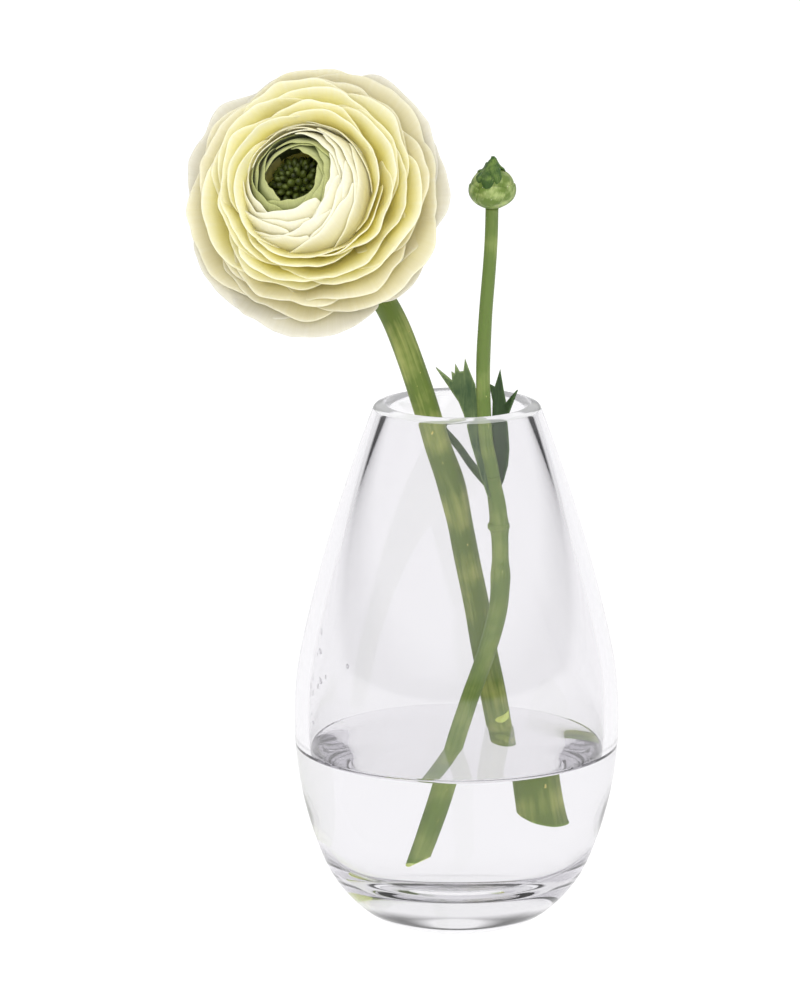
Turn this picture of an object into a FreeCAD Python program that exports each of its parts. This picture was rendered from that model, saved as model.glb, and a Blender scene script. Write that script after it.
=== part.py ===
"""Thick-walled glass bud vase holding one ranunculus flower and one budding side shoot.

Millimetres, +Z up. The origin is the centre of the face that the vase stands on.
The flower looks along -Y, a little up and to -X.
"""

import FreeCAD, Part
import math
import os
import Sketcher

Vector = FreeCAD.Vector

# ---------------------------------------------------------------- driving dimensions
DIMENSIONS = {
    # vase, outside: a flat base and four tangent arcs
    "base_flat_radius": 12.13,
    "foot_radius": 17.68,
    "heel_radius": 32.17,
    "belly_radius": 91.6,
    "shoulder_radius": 383.4,
    "foot_height": 3.5,
    "heel_height": 16.98,
    "belly_height": 71.06,
    "lip_outer_height": 130.7,
    "lip_apex_height": 136.3,
    # vase, inside: a flat floor and three tangent arcs
    "floor_height": 13.0,
    "floor_flat_radius": 12.42,
    "cavity_corner_radius": 22.0,
    "wall_thickness": 3.5,
    "cavity_shoulder_radius": 352.0,
    "cavity_corner_height": 29.3,
    "cavity_belly_height": 70.34,
    "cavity_top_height": 137.0,
    "lip_rounding": 1.4,
    # flower
    "flower_stem_diameter": 6.2,
    "receptacle_radius": 4.5,
    "receptacle_height": 16.0,
    "receptacle_foot": 2.0,
    "bloom_radius": 32.0,
    "petal_thickness": 0.6,
    "petal_corner_radius": 16.0,
    "petal_wall_radius": 24.0,
    "petal_gap_angle": 3.0,
    "whorl_radius_step": 2.0,
    "whorl_height_step": 1.6,
    "whorl_corner_step": 1.2,
    "outer_tip_angle": 20.0,
    "whorl_tip_angle_step": 2.0,
    "carpel_head_radius": 5.0,
    "carpel_head_height": 9.0,
    "sepal_length": 13.0,
    "sepal_thickness": 0.8,
    "sepal_angle": 44.0,
    "sepal_drop": 0.3,
    # bud shoot
    "bud_stem_diameter": 4.4,
    "peduncle_diameter": 3.4,
    "bud_core_radius": 4.7,
    "bud_core_center": 4.4,
    "bud_tip_height": 12.4,
    "bud_tip_radius": 0.4,
    "bud_sepal_thickness": 0.6,
    "bud_sepal_angle": 66.0,
    "leaf_thickness": 0.9,
    "lobe_width": 1.8,
    "lobe_thickness": 1.0,
}

PETALS_IN_WHORL = (7, 7, 7, 7, 6, 6, 6, 5, 5, 5)
SEPALS = 5

# the bud's sepals run between these angles above the middle of the bud, in degrees
BUD_SEPAL_LOW = -62.0
BUD_SEPAL_HIGH = 30.0

# slanted cuts at the feet of the stems: how far above the end they cross it, and which way they face
CUT_RISE = 1.2
FLOWER_STEM_CUT = Vector(0.35, -0.3, 0.9)
BUD_STEM_CUT = Vector(0.5, 0.2, 0.8)
BLADE_SIDE = 16.0

# an arc takes up to this share of each of the two runs it joins
ARC_SHARE = 0.45
# past the leaf node, the flower stalk keeps to the lower stem's line for this share of its last run
STALK_LEAD = 0.35

# limits for the tests that stop a build that went wrong
LARGEST_GLASS_SHARE = 0.8
SWEEP_TOLERANCE = 0.02

# the flower's frame: its base, where petals begin, and the way it faces
BLOOM_BASE = Vector(-32.0, 1.0, 178.6)
BLOOM_AXIS = Vector(-0.16, -0.912, 0.379)

# centre lines of the stems, from the cut end upwards
FLOWER_STEM_ROUTE = (
    Vector(12.6, 24.0, 21.0),
    Vector(11.9, 23.4, 33.0),
    Vector(10.9, 22.5, 44.6),
    Vector(7.5, 19.2, 62.8),
    Vector(4.7, 15.6, 78.6),
    Vector(2.1, 12.3, 91.9),
    Vector(-1.2, 8.2, 108.0),
    Vector(-5.0, 5.4, 120.0),
    Vector(-9.5, 4.4, 135.0),
    Vector(-15.0, 7.5, 149.4),
    Vector(-20.4, 11.0, 158.5),
    Vector(-26.0, 13.6, 167.5),
    Vector(-30.2, 10.6, 174.2),
)
BUD_STEM_ROUTE = (
    Vector(-8.5, -14.0, 20.0),
    Vector(-4.4, -7.2, 32.0),
    Vector(-0.6, -1.0, 44.6),
    Vector(3.0, 0.0, 55.8),
    Vector(7.1, 1.0, 67.3),
    Vector(10.4, 1.9, 80.0),
    Vector(10.7, 1.6, 93.0),
    Vector(10.1, 1.1, 103.5),
)
BUD_NODE = Vector(8.6, 0.5, 112.7)
PEDUNCLE_ROUTE = (
    Vector(6.9, -0.1, 123.0),
    Vector(6.3, 0.0, 136.0),
    Vector(6.7, 0.0, 150.0),
    Vector(7.7, 0.0, 164.0),
    Vector(8.2, 0.0, 172.5),
    Vector(8.4, 0.0, 179.7),
)
BACK_LOBE_ROUTE = (
    Vector(8.0, 3.0, 110.0),
    Vector(3.9, 9.4, 113.4),
    Vector(0.2, 15.7, 117.2),
    Vector(-4.4, 16.2, 122.1),
    Vector(-8.2, 13.6, 126.3),
)

# leaf outlines in their own planes: along the blade's width, then up
LEFT_LEAF = (
    (3.2, -20.0), (-0.8, -10.0), (-3.4, 0.0), (-5.5, 4.5), (-9.2, 8.7), (-4.9, 5.9), (-4.3, 7.6),
    (-3.3, 10.0), (-2.1, 8.4), (-1.2, 11.6), (0.2, 7.6), (1.4, 3.0), (2.8, -8.0), (4.2, -18.0),
)
RIGHT_LEAF = (
    (-1.0, -18.0), (-0.9, 2.0), (-1.9, 5.6), (-0.6, 5.0), (0.8, 9.6), (1.7, 1.6), (4.5, 4.6),
    (2.9, 0.0), (2.6, -6.0), (1.6, -15.0), (0.4, -19.0),
)
LEFT_LEAF_PLACE = Vector(3.5, -0.5, 131.3)
LEFT_LEAF_TURN = 5.0
RIGHT_LEAF_PLACE = Vector(9.9, 2.9, 129.6)
RIGHT_LEAF_TURN = 8.0


# ---------------------------------------------------------------- document helpers
def make_sheet(doc):
    """The spreadsheet that holds the driving dimensions, one named cell each."""
    sheet = doc.addObject("Spreadsheet::Sheet", "Dimensions")
    for row, (alias, value) in enumerate(DIMENSIONS.items(), start=1):
        sheet.set(f"A{row}", alias)
        sheet.set(f"B{row}", str(value))
        sheet.setAlias(f"B{row}", alias)
    doc.recompute()
    return sheet


def cell(alias):
    """The expression that reads one cell of the sheet."""
    return f"Dimensions.{alias}"


def origin_feature(body, role):
    for feature in body.Origin.OriginFeatures:
        if feature.Role == role:
            return feature
    raise ValueError(f"{body.Label} has no {role}")


def new_body(doc, label):
    body = doc.addObject("PartDesign::Body", label)
    body.Label = label
    return body


def new_sketch(body, name):
    """A sketch on the body's own XZ plane: sketch x is radius, sketch y is height."""
    sketch = body.newObject("Sketcher::SketchObject", name)
    sketch.AttachmentSupport = (origin_feature(body, "XZ_Plane"), [""])
    sketch.MapMode = "FlatFace"
    return sketch


def polar(center, radius, angle):
    """The point at a radius and an angle, in radians, about a centre."""
    return Vector(center.x + radius * math.cos(angle), center.y + radius * math.sin(angle), 0)


def add_line(sketch, start, end):
    return sketch.addGeometry(Part.LineSegment(start, end), False)


def add_arc(sketch, center, radius, start, end):
    circle = Part.Circle(center, Vector(0, 0, 1), radius)
    return sketch.addGeometry(Part.ArcOfCircle(circle, start, end), False)


def tie(sketch, kind, *where):
    sketch.addConstraint(Sketcher.Constraint(kind, *where))


def bind(sketch, name, expression, kind, *where):
    """Adds a constraint with a name, and binds its value to an expression."""
    index = sketch.addConstraint(Sketcher.Constraint(kind, *where))
    sketch.renameConstraint(index, name)
    sketch.setExpression(f"Constraints.{name}", expression)


def size(sheet, alias):
    return float(sheet.get(alias))


def revolve(body, sketch, name, kind="PartDesign::Revolution", angle=None):
    """A Revolution, or a Groove, of a sketch about its own vertical axis."""
    feature = body.newObject(kind, name)
    feature.Profile = sketch
    feature.ReferenceAxis = (sketch, ["V_Axis"])
    if angle is not None:
        feature.setExpression("Angle", angle)
    return feature


def repeat_round(body, feature, sketch, name, count):
    """Copies a feature evenly round the sketch's vertical axis."""
    pattern = body.newObject("PartDesign::PolarPattern", name)
    pattern.Originals = [feature]
    pattern.Axis = (sketch, ["V_Axis"])
    pattern.Angle = 360
    pattern.Occurrences = count
    body.Tip = pattern
    return pattern


# ---------------------------------------------------------------- vase
def tangent_arcs(start, radii, heights):
    """Arcs that begin level at a point and curve up, each tangent to the one before.

    Each ends at its own height. Gives (centre, radius, first angle, last angle).
    """
    arcs = []
    center = start + Vector(0, radii[0], 0)
    angle = -math.pi / 2
    for index, (radius, height) in enumerate(zip(radii, heights)):
        if index:
            joint = polar(center, radii[index - 1], angle)
            center = polar(joint, -radius, angle)
        last = math.asin((height - center.y) / radius)
        arcs.append((center, radius, angle, last))
        angle = last
    return arcs


def profile_sketch(body, sheet, name, floor, flat, arcs, top):
    """Half a vessel's outline: a level floor, tangent arcs, a closing line and the axis.

    floor, flat and top are aliases: the floor's height, its radius and the height on the axis.
    arcs is a list of (radius expression, height alias).
    """
    sketch = new_sketch(body, name)
    level = size(sheet, floor) if floor else 0.0
    corner = Vector(size(sheet, flat), level, 0)
    radii = [radius for radius, _, _ in arcs]
    heights = [size(sheet, height) for _, _, height in arcs]
    on_axis = Vector(0, size(sheet, top), 0)
    base = add_line(sketch, Vector(0, level, 0), corner)
    chain = [add_arc(sketch, *arc) for arc in tangent_arcs(corner, radii, heights)]
    center, radius, _, last = tangent_arcs(corner, radii, heights)[-1]
    closing = add_line(sketch, polar(center, radius, last), on_axis)
    axis = add_line(sketch, on_axis, Vector(0, level, 0))

    tie(sketch, "Horizontal", base)
    tie(sketch, "Tangent", base, 2, chain[0], 1)
    for lower, upper in zip(chain, chain[1:]):
        tie(sketch, "Tangent", lower, 2, upper, 1)
    tie(sketch, "Coincident", chain[-1], 2, closing, 1)
    tie(sketch, "Coincident", closing, 2, axis, 1)
    tie(sketch, "Coincident", axis, 2, base, 1)
    tie(sketch, "PointOnObject", axis, 1, -2)
    if floor:
        tie(sketch, "PointOnObject", base, 1, -2)
        bind(sketch, "floor", cell(floor), "DistanceY", -1, 1, base, 1, level)
    else:
        tie(sketch, "Coincident", base, 1, -1, 1)
    bind(sketch, "flat", cell(flat), "DistanceX", base, 1, base, 2, corner.x)
    bind(sketch, "top", cell(top), "DistanceY", -1, 1, axis, 1, on_axis.y)
    for arc, (radius, expression, height) in zip(chain, arcs):
        bind(sketch, f"{height}_radius", expression, "Radius", arc, radius)
        bind(sketch, height, cell(height), "DistanceY", -1, 1, arc, 2, size(sheet, height))
    return sketch


def make_vase(doc, sheet):
    """The glass: revolved outside, grooved inside, with a fire-polished lip."""
    body = new_body(doc, "vase")
    outside = [
        (size(sheet, f"{part}_radius"), cell(f"{part}_radius"), height)
        for part, height in (
            ("foot", "foot_height"),
            ("heel", "heel_height"),
            ("belly", "belly_height"),
            ("shoulder", "lip_outer_height"),
        )
    ]
    outline = profile_sketch(
        body, sheet, "vase_outline", None, "base_flat_radius", outside, "lip_apex_height"
    )
    revolve(body, outline, "vase_solid")
    doc.recompute()
    full = body.Shape.Volume

    inner_belly = size(sheet, "belly_radius") - size(sheet, "wall_thickness")
    inside = [
        (size(sheet, "cavity_corner_radius"), cell("cavity_corner_radius"), "cavity_corner_height"),
        (inner_belly, f"{cell('belly_radius')} - {cell('wall_thickness')}", "cavity_belly_height"),
        (size(sheet, "cavity_shoulder_radius"), cell("cavity_shoulder_radius"), "cavity_top_height"),
    ]
    cavity = profile_sketch(
        body, sheet, "cavity_outline", "floor_height", "floor_flat_radius", inside, "cavity_top_height"
    )
    groove = revolve(body, cavity, "cavity", "PartDesign::Groove")
    doc.recompute()
    if not groove.Shape.Volume < LARGEST_GLASS_SHARE * full:
        raise ValueError("the cavity cut nothing")

    lip = body.newObject("PartDesign::Fillet", "lip")
    lip.Base = (groove, lip_edges(groove.Shape, size(sheet, "foot_height")))
    lip.setExpression("Radius", cell("lip_rounding"))
    doc.recompute()
    return body


def lip_edges(shape, margin):
    """The names of the two round edges at the mouth."""
    top = shape.BoundBox.ZMax
    names = []
    for number, edge in enumerate(shape.Edges, start=1):
        box = edge.BoundBox
        if box.ZMin > top - margin and box.ZLength < 0.1:
            names.append(f"Edge{number}")
    return names


# ---------------------------------------------------------------- stems
def rounded_route(points):
    """Straight runs joined by tangent arcs, each as large as its two runs allow."""
    edges = []
    here = points[0]
    for before, corner, after in zip(points, points[1:], points[2:]):
        back = (before - corner).normalize()
        ahead = (after - corner).normalize()
        reach = ARC_SHARE * min((before - corner).Length, (after - corner).Length)
        middle = (back + ahead).normalize()
        half = back.getAngle(ahead) / 2
        radius = reach * math.tan(half)
        center = corner + middle * (radius / math.sin(half))
        enter = corner + back * reach
        leave = corner + ahead * reach
        edges.append(Part.LineSegment(here, enter).toShape())
        edges.append(Part.Arc(enter, center - middle * radius, leave).toShape())
        here = leave
    edges.append(Part.LineSegment(here, points[-1]).toShape())
    return Part.Wire(edges)


def sweep_along(doc, label, points, profile):
    """A solid swept from a profile object along a rounded route."""
    spine = doc.addObject("Part::Feature", f"{label}_route")
    spine.Shape = rounded_route(points)
    profile.Placement = FreeCAD.Placement(
        points[0], FreeCAD.Rotation(Vector(0, 0, 1), points[1] - points[0])
    )
    sweep = doc.addObject("Part::Sweep", label)
    sweep.Label = label
    sweep.Sections = [profile]
    sweep.Spine = (spine, [f"Edge{number + 1}" for number in range(len(spine.Shape.Edges))])
    sweep.Solid = True
    sweep.Frenet = False
    doc.recompute()
    section = Part.Face(Part.Wire(profile.Shape.Edges)).Area
    expected = section * spine.Shape.Length
    if abs(sweep.Shape.Volume - expected) > SWEEP_TOLERANCE * expected:
        raise ValueError(f"{label}: volume {sweep.Shape.Volume:.1f}, not {expected:.1f}")
    return sweep


def make_stem(doc, label, points, diameter):
    circle = doc.addObject("Part::Circle", f"{label}_section")
    circle.setExpression("Radius", f"{cell(diameter)} / 2")
    return sweep_along(doc, label, points, circle)


def cut_stem_end(doc, stem, label, point, slope):
    """Cuts the foot of a stem at a slant, as a florist's knife does."""
    blade = doc.addObject("Part::Box", f"{label}_blade")
    for side in ("Length", "Width", "Height"):
        setattr(blade, side, BLADE_SIDE)
    turn = FreeCAD.Rotation(Vector(0, 0, 1), slope)
    below = Vector(-BLADE_SIDE / 2, -BLADE_SIDE / 2, -BLADE_SIDE)
    blade.Placement = FreeCAD.Placement(point + turn.multVec(below), turn)
    cut = doc.addObject("Part::Cut", label)
    cut.Label = label
    cut.Base = stem
    cut.Tool = blade
    doc.recompute()
    if not cut.Shape.Volume < stem.Shape.Volume:
        raise ValueError(f"{label}: the slanted cut missed the stem")
    return cut


def make_lobe(doc, label, points):
    """A narrow leaf lobe: a flat oval swept along its route."""
    oval = doc.addObject("Part::Ellipse", f"{label}_section")
    oval.setExpression("MajorRadius", f"{cell('lobe_width')} / 2")
    oval.setExpression("MinorRadius", f"{cell('lobe_thickness')} / 2")
    return sweep_along(doc, label, points, oval)


# ---------------------------------------------------------------- flower
def bloom_place(turn=0.0, height=0.0):
    """Puts local +Z along the way the flower faces, turned about it by an angle in degrees."""
    facing = FreeCAD.Rotation(Vector(0, 0, 1), BLOOM_AXIS)
    spin = FreeCAD.Rotation(Vector(0, 0, 1), turn)
    return FreeCAD.Placement(BLOOM_BASE + BLOOM_AXIS * height, facing.multiply(spin))


def bowl_sketch(body, sheet, index):
    """The section of one petal: a level claw, a round corner and a wall that leans inwards."""
    claw = size(sheet, "receptacle_radius")
    thick = size(sheet, "petal_thickness")
    low = index * size(sheet, "whorl_height_step")
    wide = size(sheet, "bloom_radius") - index * size(sheet, "whorl_radius_step")
    corner = size(sheet, "petal_corner_radius") - index * size(sheet, "whorl_corner_step")
    wall = size(sheet, "petal_wall_radius")
    tip = math.radians(size(sheet, "outer_tip_angle") + index * size(sheet, "whorl_tip_angle_step"))
    turn = Vector(wide - corner, low + corner, 0)
    hub = Vector(wide - wall, low + corner, 0)
    down = -math.pi / 2

    sketch = new_sketch(body, f"{body.Label}_section")
    under = add_line(sketch, Vector(claw, low, 0), Vector(turn.x, low, 0))
    outer_corner = add_arc(sketch, turn, corner, down, 0)
    outer_wall = add_arc(sketch, hub, wall, 0, tip)
    rim = add_line(sketch, polar(hub, wall, tip), polar(hub, wall - thick, tip))
    inner_wall = add_arc(sketch, hub, wall - thick, 0, tip)
    inner_corner = add_arc(sketch, turn, corner - thick, down, 0)
    over = add_line(sketch, Vector(turn.x, low + thick, 0), Vector(claw, low + thick, 0))
    root = add_line(sketch, Vector(claw, low + thick, 0), Vector(claw, low, 0))

    tie(sketch, "Tangent", under, 2, outer_corner, 1)
    tie(sketch, "Tangent", outer_corner, 2, outer_wall, 1)
    tie(sketch, "Coincident", outer_wall, 2, rim, 1)
    tie(sketch, "Coincident", rim, 2, inner_wall, 2)
    tie(sketch, "Coincident", inner_wall, 1, inner_corner, 2)
    tie(sketch, "Coincident", inner_corner, 1, over, 1)
    tie(sketch, "Coincident", over, 2, root, 1)
    tie(sketch, "Coincident", root, 2, under, 1)
    tie(sketch, "Coincident", inner_corner, 3, outer_corner, 3)
    tie(sketch, "Coincident", inner_wall, 3, outer_wall, 3)
    tie(sketch, "PointOnObject", outer_wall, 3, rim)
    tie(sketch, "Horizontal", under)
    tie(sketch, "Horizontal", over)
    tie(sketch, "Vertical", root)
    tie(sketch, "Horizontal", outer_corner, 3, outer_corner, 2)
    tie(sketch, "Horizontal", inner_corner, 3, inner_corner, 2)

    step = cell("whorl_radius_step")
    corner_rule = f"{cell('petal_corner_radius')} - {index} * {cell('whorl_corner_step')}"
    bind(sketch, "claw", cell("receptacle_radius"), "DistanceX", -1, 1, under, 1, claw)
    if index:
        rise = f"{index} * {cell('whorl_height_step')}"
        bind(sketch, "low", rise, "DistanceY", -1, 1, under, 1, low)
    else:
        tie(sketch, "PointOnObject", under, 1, -1)
    width = f"{cell('bloom_radius')} - {index} * {step}"
    bind(sketch, "wide", width, "DistanceX", -1, 1, outer_corner, 2, wide)
    bind(sketch, "corner", corner_rule, "Radius", outer_corner, corner)
    bind(sketch, "wall", cell("petal_wall_radius"), "Radius", outer_wall, wall)
    bind(sketch, "thick", cell("petal_thickness"), "DistanceY", under, 1, root, 1, thick)
    tip_rule = (
        f"{corner_rule} + {index} * {cell('whorl_height_step')} + {cell('petal_wall_radius')}"
        f" * sin(({cell('outer_tip_angle')} + {index} * {cell('whorl_tip_angle_step')}) * 1 deg)"
    )
    tip_height = hub.y + wall * math.sin(tip)
    bind(sketch, "tip", tip_rule, "DistanceY", -1, 1, rim, 1, tip_height)
    return sketch


def make_petals(doc, sheet, index):
    """One whorl: separate cupped petals round the receptacle, staggered to the whorl outside."""
    body = new_body(doc, f"petals_{index + 1}")
    count = PETALS_IN_WHORL[index]
    sketch = bowl_sketch(body, sheet, index)
    sector = f"360 / {count} - {cell('petal_gap_angle')}"
    petal = revolve(body, sketch, f"petal_{index + 1}", angle=sector)
    repeat_round(body, petal, sketch, f"whorl_{index + 1}", count)
    body.Placement = bloom_place(turn=index * 180.0 / count)
    return body


def make_receptacle(doc, sheet):
    """The column in the middle of the flower, which the petals and the stem meet."""
    column = doc.addObject("Part::Cylinder", "receptacle")
    column.Label = "receptacle"
    column.setExpression("Radius", cell("receptacle_radius"))
    column.setExpression("Height", f"{cell('receptacle_height')} + {cell('receptacle_foot')}")
    column.Placement = bloom_place(height=-size(sheet, "receptacle_foot"))
    return column


def make_carpel_head(doc, sheet):
    """The green heart of the flower: a dome on top of the receptacle."""
    body = new_body(doc, "carpel_head")
    sketch = new_sketch(body, "carpel_head_section")
    wide = size(sheet, "carpel_head_radius")
    high = size(sheet, "carpel_head_height")
    radius = (wide * wide + high * high) / (2 * high)
    center = Vector(0, high - radius, 0)
    start = math.atan2(-center.y, wide)
    base = add_line(sketch, Vector(0, 0, 0), Vector(wide, 0, 0))
    dome = add_arc(sketch, center, radius, start, math.pi / 2)
    axis = add_line(sketch, Vector(0, high, 0), Vector(0, 0, 0))
    tie(sketch, "Coincident", base, 1, -1, 1)
    tie(sketch, "Horizontal", base)
    tie(sketch, "Coincident", base, 2, dome, 1)
    tie(sketch, "Coincident", dome, 2, axis, 1)
    tie(sketch, "Coincident", axis, 2, base, 1)
    tie(sketch, "Vertical", axis)
    tie(sketch, "PointOnObject", dome, 3, -2)
    bind(sketch, "wide", cell("carpel_head_radius"), "DistanceX", base, 1, base, 2, wide)
    bind(sketch, "high", cell("carpel_head_height"), "DistanceY", axis, 2, axis, 1, high)
    revolve(body, sketch, "carpel_dome")
    body.Placement = bloom_place(height=size(sheet, "receptacle_height"))
    return body


def make_sepals(doc, sheet):
    """Five small sepals spread flat under the petals."""
    body = new_body(doc, "sepals")
    sketch = new_sketch(body, "sepal_section")
    near = size(sheet, "receptacle_radius")
    far = size(sheet, "sepal_length")
    thick = size(sheet, "sepal_thickness")
    top = -size(sheet, "sepal_drop")
    low = top - thick
    corners = [Vector(near, low, 0), Vector(far, low, 0), Vector(far, top, 0), Vector(near, top, 0)]
    sides = [add_line(sketch, a, b) for a, b in zip(corners, corners[1:] + corners[:1])]
    for side, after in zip(sides, sides[1:] + sides[:1]):
        tie(sketch, "Coincident", side, 2, after, 1)
    tie(sketch, "Horizontal", sides[0])
    tie(sketch, "Horizontal", sides[2])
    tie(sketch, "Vertical", sides[1])
    tie(sketch, "Vertical", sides[3])
    bind(sketch, "near", cell("receptacle_radius"), "DistanceX", -1, 1, sides[0], 1, near)
    bind(sketch, "far", cell("sepal_length"), "DistanceX", -1, 1, sides[0], 2, far)
    bind(sketch, "thick", cell("sepal_thickness"), "DistanceY", sides[1], 1, sides[1], 2, thick)
    bind(sketch, "drop", cell("sepal_drop"), "DistanceY", sides[2], 2, -1, 1, -top)
    sepal = revolve(body, sketch, "sepal", angle=cell("sepal_angle"))
    repeat_round(body, sepal, sketch, "sepal_ring", SEPALS)
    body.Placement = bloom_place()
    return body


# ---------------------------------------------------------------- bud and leaves
def make_bud_core(doc, sheet):
    """The closed bud: a ball of folded petals drawn out to a blunt point."""
    body = new_body(doc, "bud_core")
    sketch = new_sketch(body, "bud_core_section")
    ball = size(sheet, "bud_core_radius")
    middle = size(sheet, "bud_core_center")
    high = size(sheet, "bud_tip_height")
    blunt = size(sheet, "bud_tip_radius")
    center = Vector(0, middle, 0)
    low = math.asin(-middle / ball)
    upper = math.asin(ball / math.hypot(high - middle, blunt))
    foot = polar(center, ball, low)
    neck = polar(center, ball, upper)
    base = add_line(sketch, Vector(0, 0, 0), Vector(foot.x, 0, 0))
    side = add_arc(sketch, center, ball, low, upper)
    cone = add_line(sketch, neck, Vector(blunt, high, 0))
    tip = add_line(sketch, Vector(blunt, high, 0), Vector(0, high, 0))
    axis = add_line(sketch, Vector(0, high, 0), Vector(0, 0, 0))
    outline = [base, side, cone, tip, axis]
    for edge, after in zip(outline, outline[1:] + outline[:1]):
        tie(sketch, "Coincident", edge, 2, after, 1)
    tie(sketch, "Coincident", base, 1, -1, 1)
    tie(sketch, "Horizontal", base)
    tie(sketch, "Horizontal", tip)
    tie(sketch, "Vertical", axis)
    tie(sketch, "PointOnObject", side, 3, -2)
    bind(sketch, "ball", cell("bud_core_radius"), "Radius", side, ball)
    bind(sketch, "middle", cell("bud_core_center"), "DistanceY", -1, 1, side, 3, middle)
    bind(sketch, "high", cell("bud_tip_height"), "DistanceY", -1, 1, tip, 1, high)
    bind(sketch, "blunt", cell("bud_tip_radius"), "DistanceX", tip, 2, tip, 1, blunt)
    tie(sketch, "DistanceY", -1, 1, side, 2, neck.y)
    revolve(body, sketch, "bud_ball")
    body.Placement.Base = PEDUNCLE_ROUTE[-1]
    return body


def make_bud_sepals(doc, sheet):
    """Five sepals that hug the lower part of the bud."""
    body = new_body(doc, "bud_sepals")
    sketch = new_sketch(body, "bud_sepal_section")
    ball = size(sheet, "bud_core_radius")
    thick = size(sheet, "bud_sepal_thickness")
    center = Vector(0, size(sheet, "bud_core_center"), 0)
    low = math.radians(BUD_SEPAL_LOW)
    high = math.radians(BUD_SEPAL_HIGH)
    outer = add_arc(sketch, center, ball + thick, low, high)
    rim = add_line(sketch, polar(center, ball + thick, high), polar(center, ball, high))
    inner = add_arc(sketch, center, ball, low, high)
    root = add_line(sketch, polar(center, ball, low), polar(center, ball + thick, low))
    tie(sketch, "Coincident", outer, 2, rim, 1)
    tie(sketch, "Coincident", rim, 2, inner, 2)
    tie(sketch, "Coincident", inner, 1, root, 1)
    tie(sketch, "Coincident", root, 2, outer, 1)
    tie(sketch, "Coincident", inner, 3, outer, 3)
    tie(sketch, "PointOnObject", outer, 3, -2)
    bind(sketch, "ball", cell("bud_core_radius"), "Radius", inner, ball)
    outer_rule = f"{cell('bud_core_radius')} + {cell('bud_sepal_thickness')}"
    bind(sketch, "outer", outer_rule, "Radius", outer, ball + thick)
    bind(sketch, "middle", cell("bud_core_center"), "DistanceY", -1, 1, outer, 3, center.y)
    sepal = revolve(body, sketch, "bud_sepal", angle=cell("bud_sepal_angle"))
    repeat_round(body, sepal, sketch, "bud_sepal_ring", SEPALS)
    body.Placement.Base = PEDUNCLE_ROUTE[-1]
    return body


def make_leaf(doc, label, outline, place, turn, stems):
    """A toothed blade padded from its outline, trimmed where the stems run through it."""
    body = new_body(doc, f"{label}_blade")
    sketch = new_sketch(body, f"{label}_outline")
    corners = [Vector(x, y, 0) for x, y in outline]
    edges = [add_line(sketch, a, b) for a, b in zip(corners, corners[1:] + corners[:1])]
    for edge, after in zip(edges, edges[1:] + edges[:1]):
        tie(sketch, "Coincident", edge, 2, after, 1)
    pad = body.newObject("PartDesign::Pad", f"{label}_pad")
    pad.Profile = sketch
    pad.Midplane = True
    pad.setExpression("Length", cell("leaf_thickness"))
    body.Placement = FreeCAD.Placement(place, FreeCAD.Rotation(Vector(0, 0, 1), turn))
    doc.recompute()
    return trim(doc, body, label, stems)


def trim(doc, piece, label, tools):
    """Takes the tools' solids out of a piece, so that it meets them face to face."""
    for number, tool in enumerate(tools, start=1):
        cut = doc.addObject("Part::Cut", f"{label}_{number}")
        cut.Base = piece
        cut.Tool = tool
        piece = cut
    piece.Label = label
    doc.recompute()
    return piece


# ---------------------------------------------------------------- assembly
def make_flower(doc, sheet):
    axis_foot = BLOOM_BASE - BLOOM_AXIS * size(sheet, "receptacle_foot")
    route = FLOWER_STEM_ROUTE + (axis_foot,)
    whole = make_stem(doc, "flower_stem_whole", route, "flower_stem_diameter")
    foot = route[0] + Vector(0, 0, CUT_RISE)
    cut = cut_stem_end(doc, whole, "flower_stem_foot", foot, FLOWER_STEM_CUT)
    receptacle = make_receptacle(doc, sheet)
    stem = trim(doc, cut, "flower_stem", [receptacle])
    pieces = [stem, receptacle, make_carpel_head(doc, sheet), make_sepals(doc, sheet)]
    pieces += [make_petals(doc, sheet, index) for index in range(len(PETALS_IN_WHORL))]
    return pieces


def make_bud_shoot(doc, sheet):
    onward = BUD_NODE + (BUD_NODE - BUD_STEM_ROUTE[-1]) * STALK_LEAD
    whole = make_stem(doc, "bud_stem_whole", BUD_STEM_ROUTE + (BUD_NODE,), "bud_stem_diameter")
    foot = BUD_STEM_ROUTE[0] + Vector(0, 0, CUT_RISE)
    stem = cut_stem_end(doc, whole, "bud_stem", foot, BUD_STEM_CUT)
    stalk = (BUD_NODE, onward) + PEDUNCLE_ROUTE
    stalk_whole = make_stem(doc, "bud_peduncle_whole", stalk, "peduncle_diameter")
    bud_core = make_bud_core(doc, sheet)
    peduncle = trim(doc, stalk_whole, "bud_peduncle", [bud_core])
    stems = [stem, peduncle]
    lobe = make_lobe(doc, "leaf_back_lobe_whole", BACK_LOBE_ROUTE)
    return stems + [
        bud_core,
        make_bud_sepals(doc, sheet),
        make_leaf(doc, "leaf_left", LEFT_LEAF, LEFT_LEAF_PLACE, LEFT_LEAF_TURN, stems),
        make_leaf(doc, "leaf_right", RIGHT_LEAF, RIGHT_LEAF_PLACE, RIGHT_LEAF_TURN, stems),
        trim(doc, lobe, "leaf_back_lobe", stems),
    ]


def check_document(doc, pieces):
    """Stops if any object failed, or any piece is empty or broken."""
    for item in doc.Objects:
        if "Invalid" in item.State or "Error" in item.State:
            raise ValueError(f"{item.Name} failed: {item.State}")
    for piece in pieces:
        shape = piece.Shape
        if shape.isNull() or not shape.isValid() or not shape.Solids:
            raise ValueError(f"{piece.Label} has no valid solid")


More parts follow.
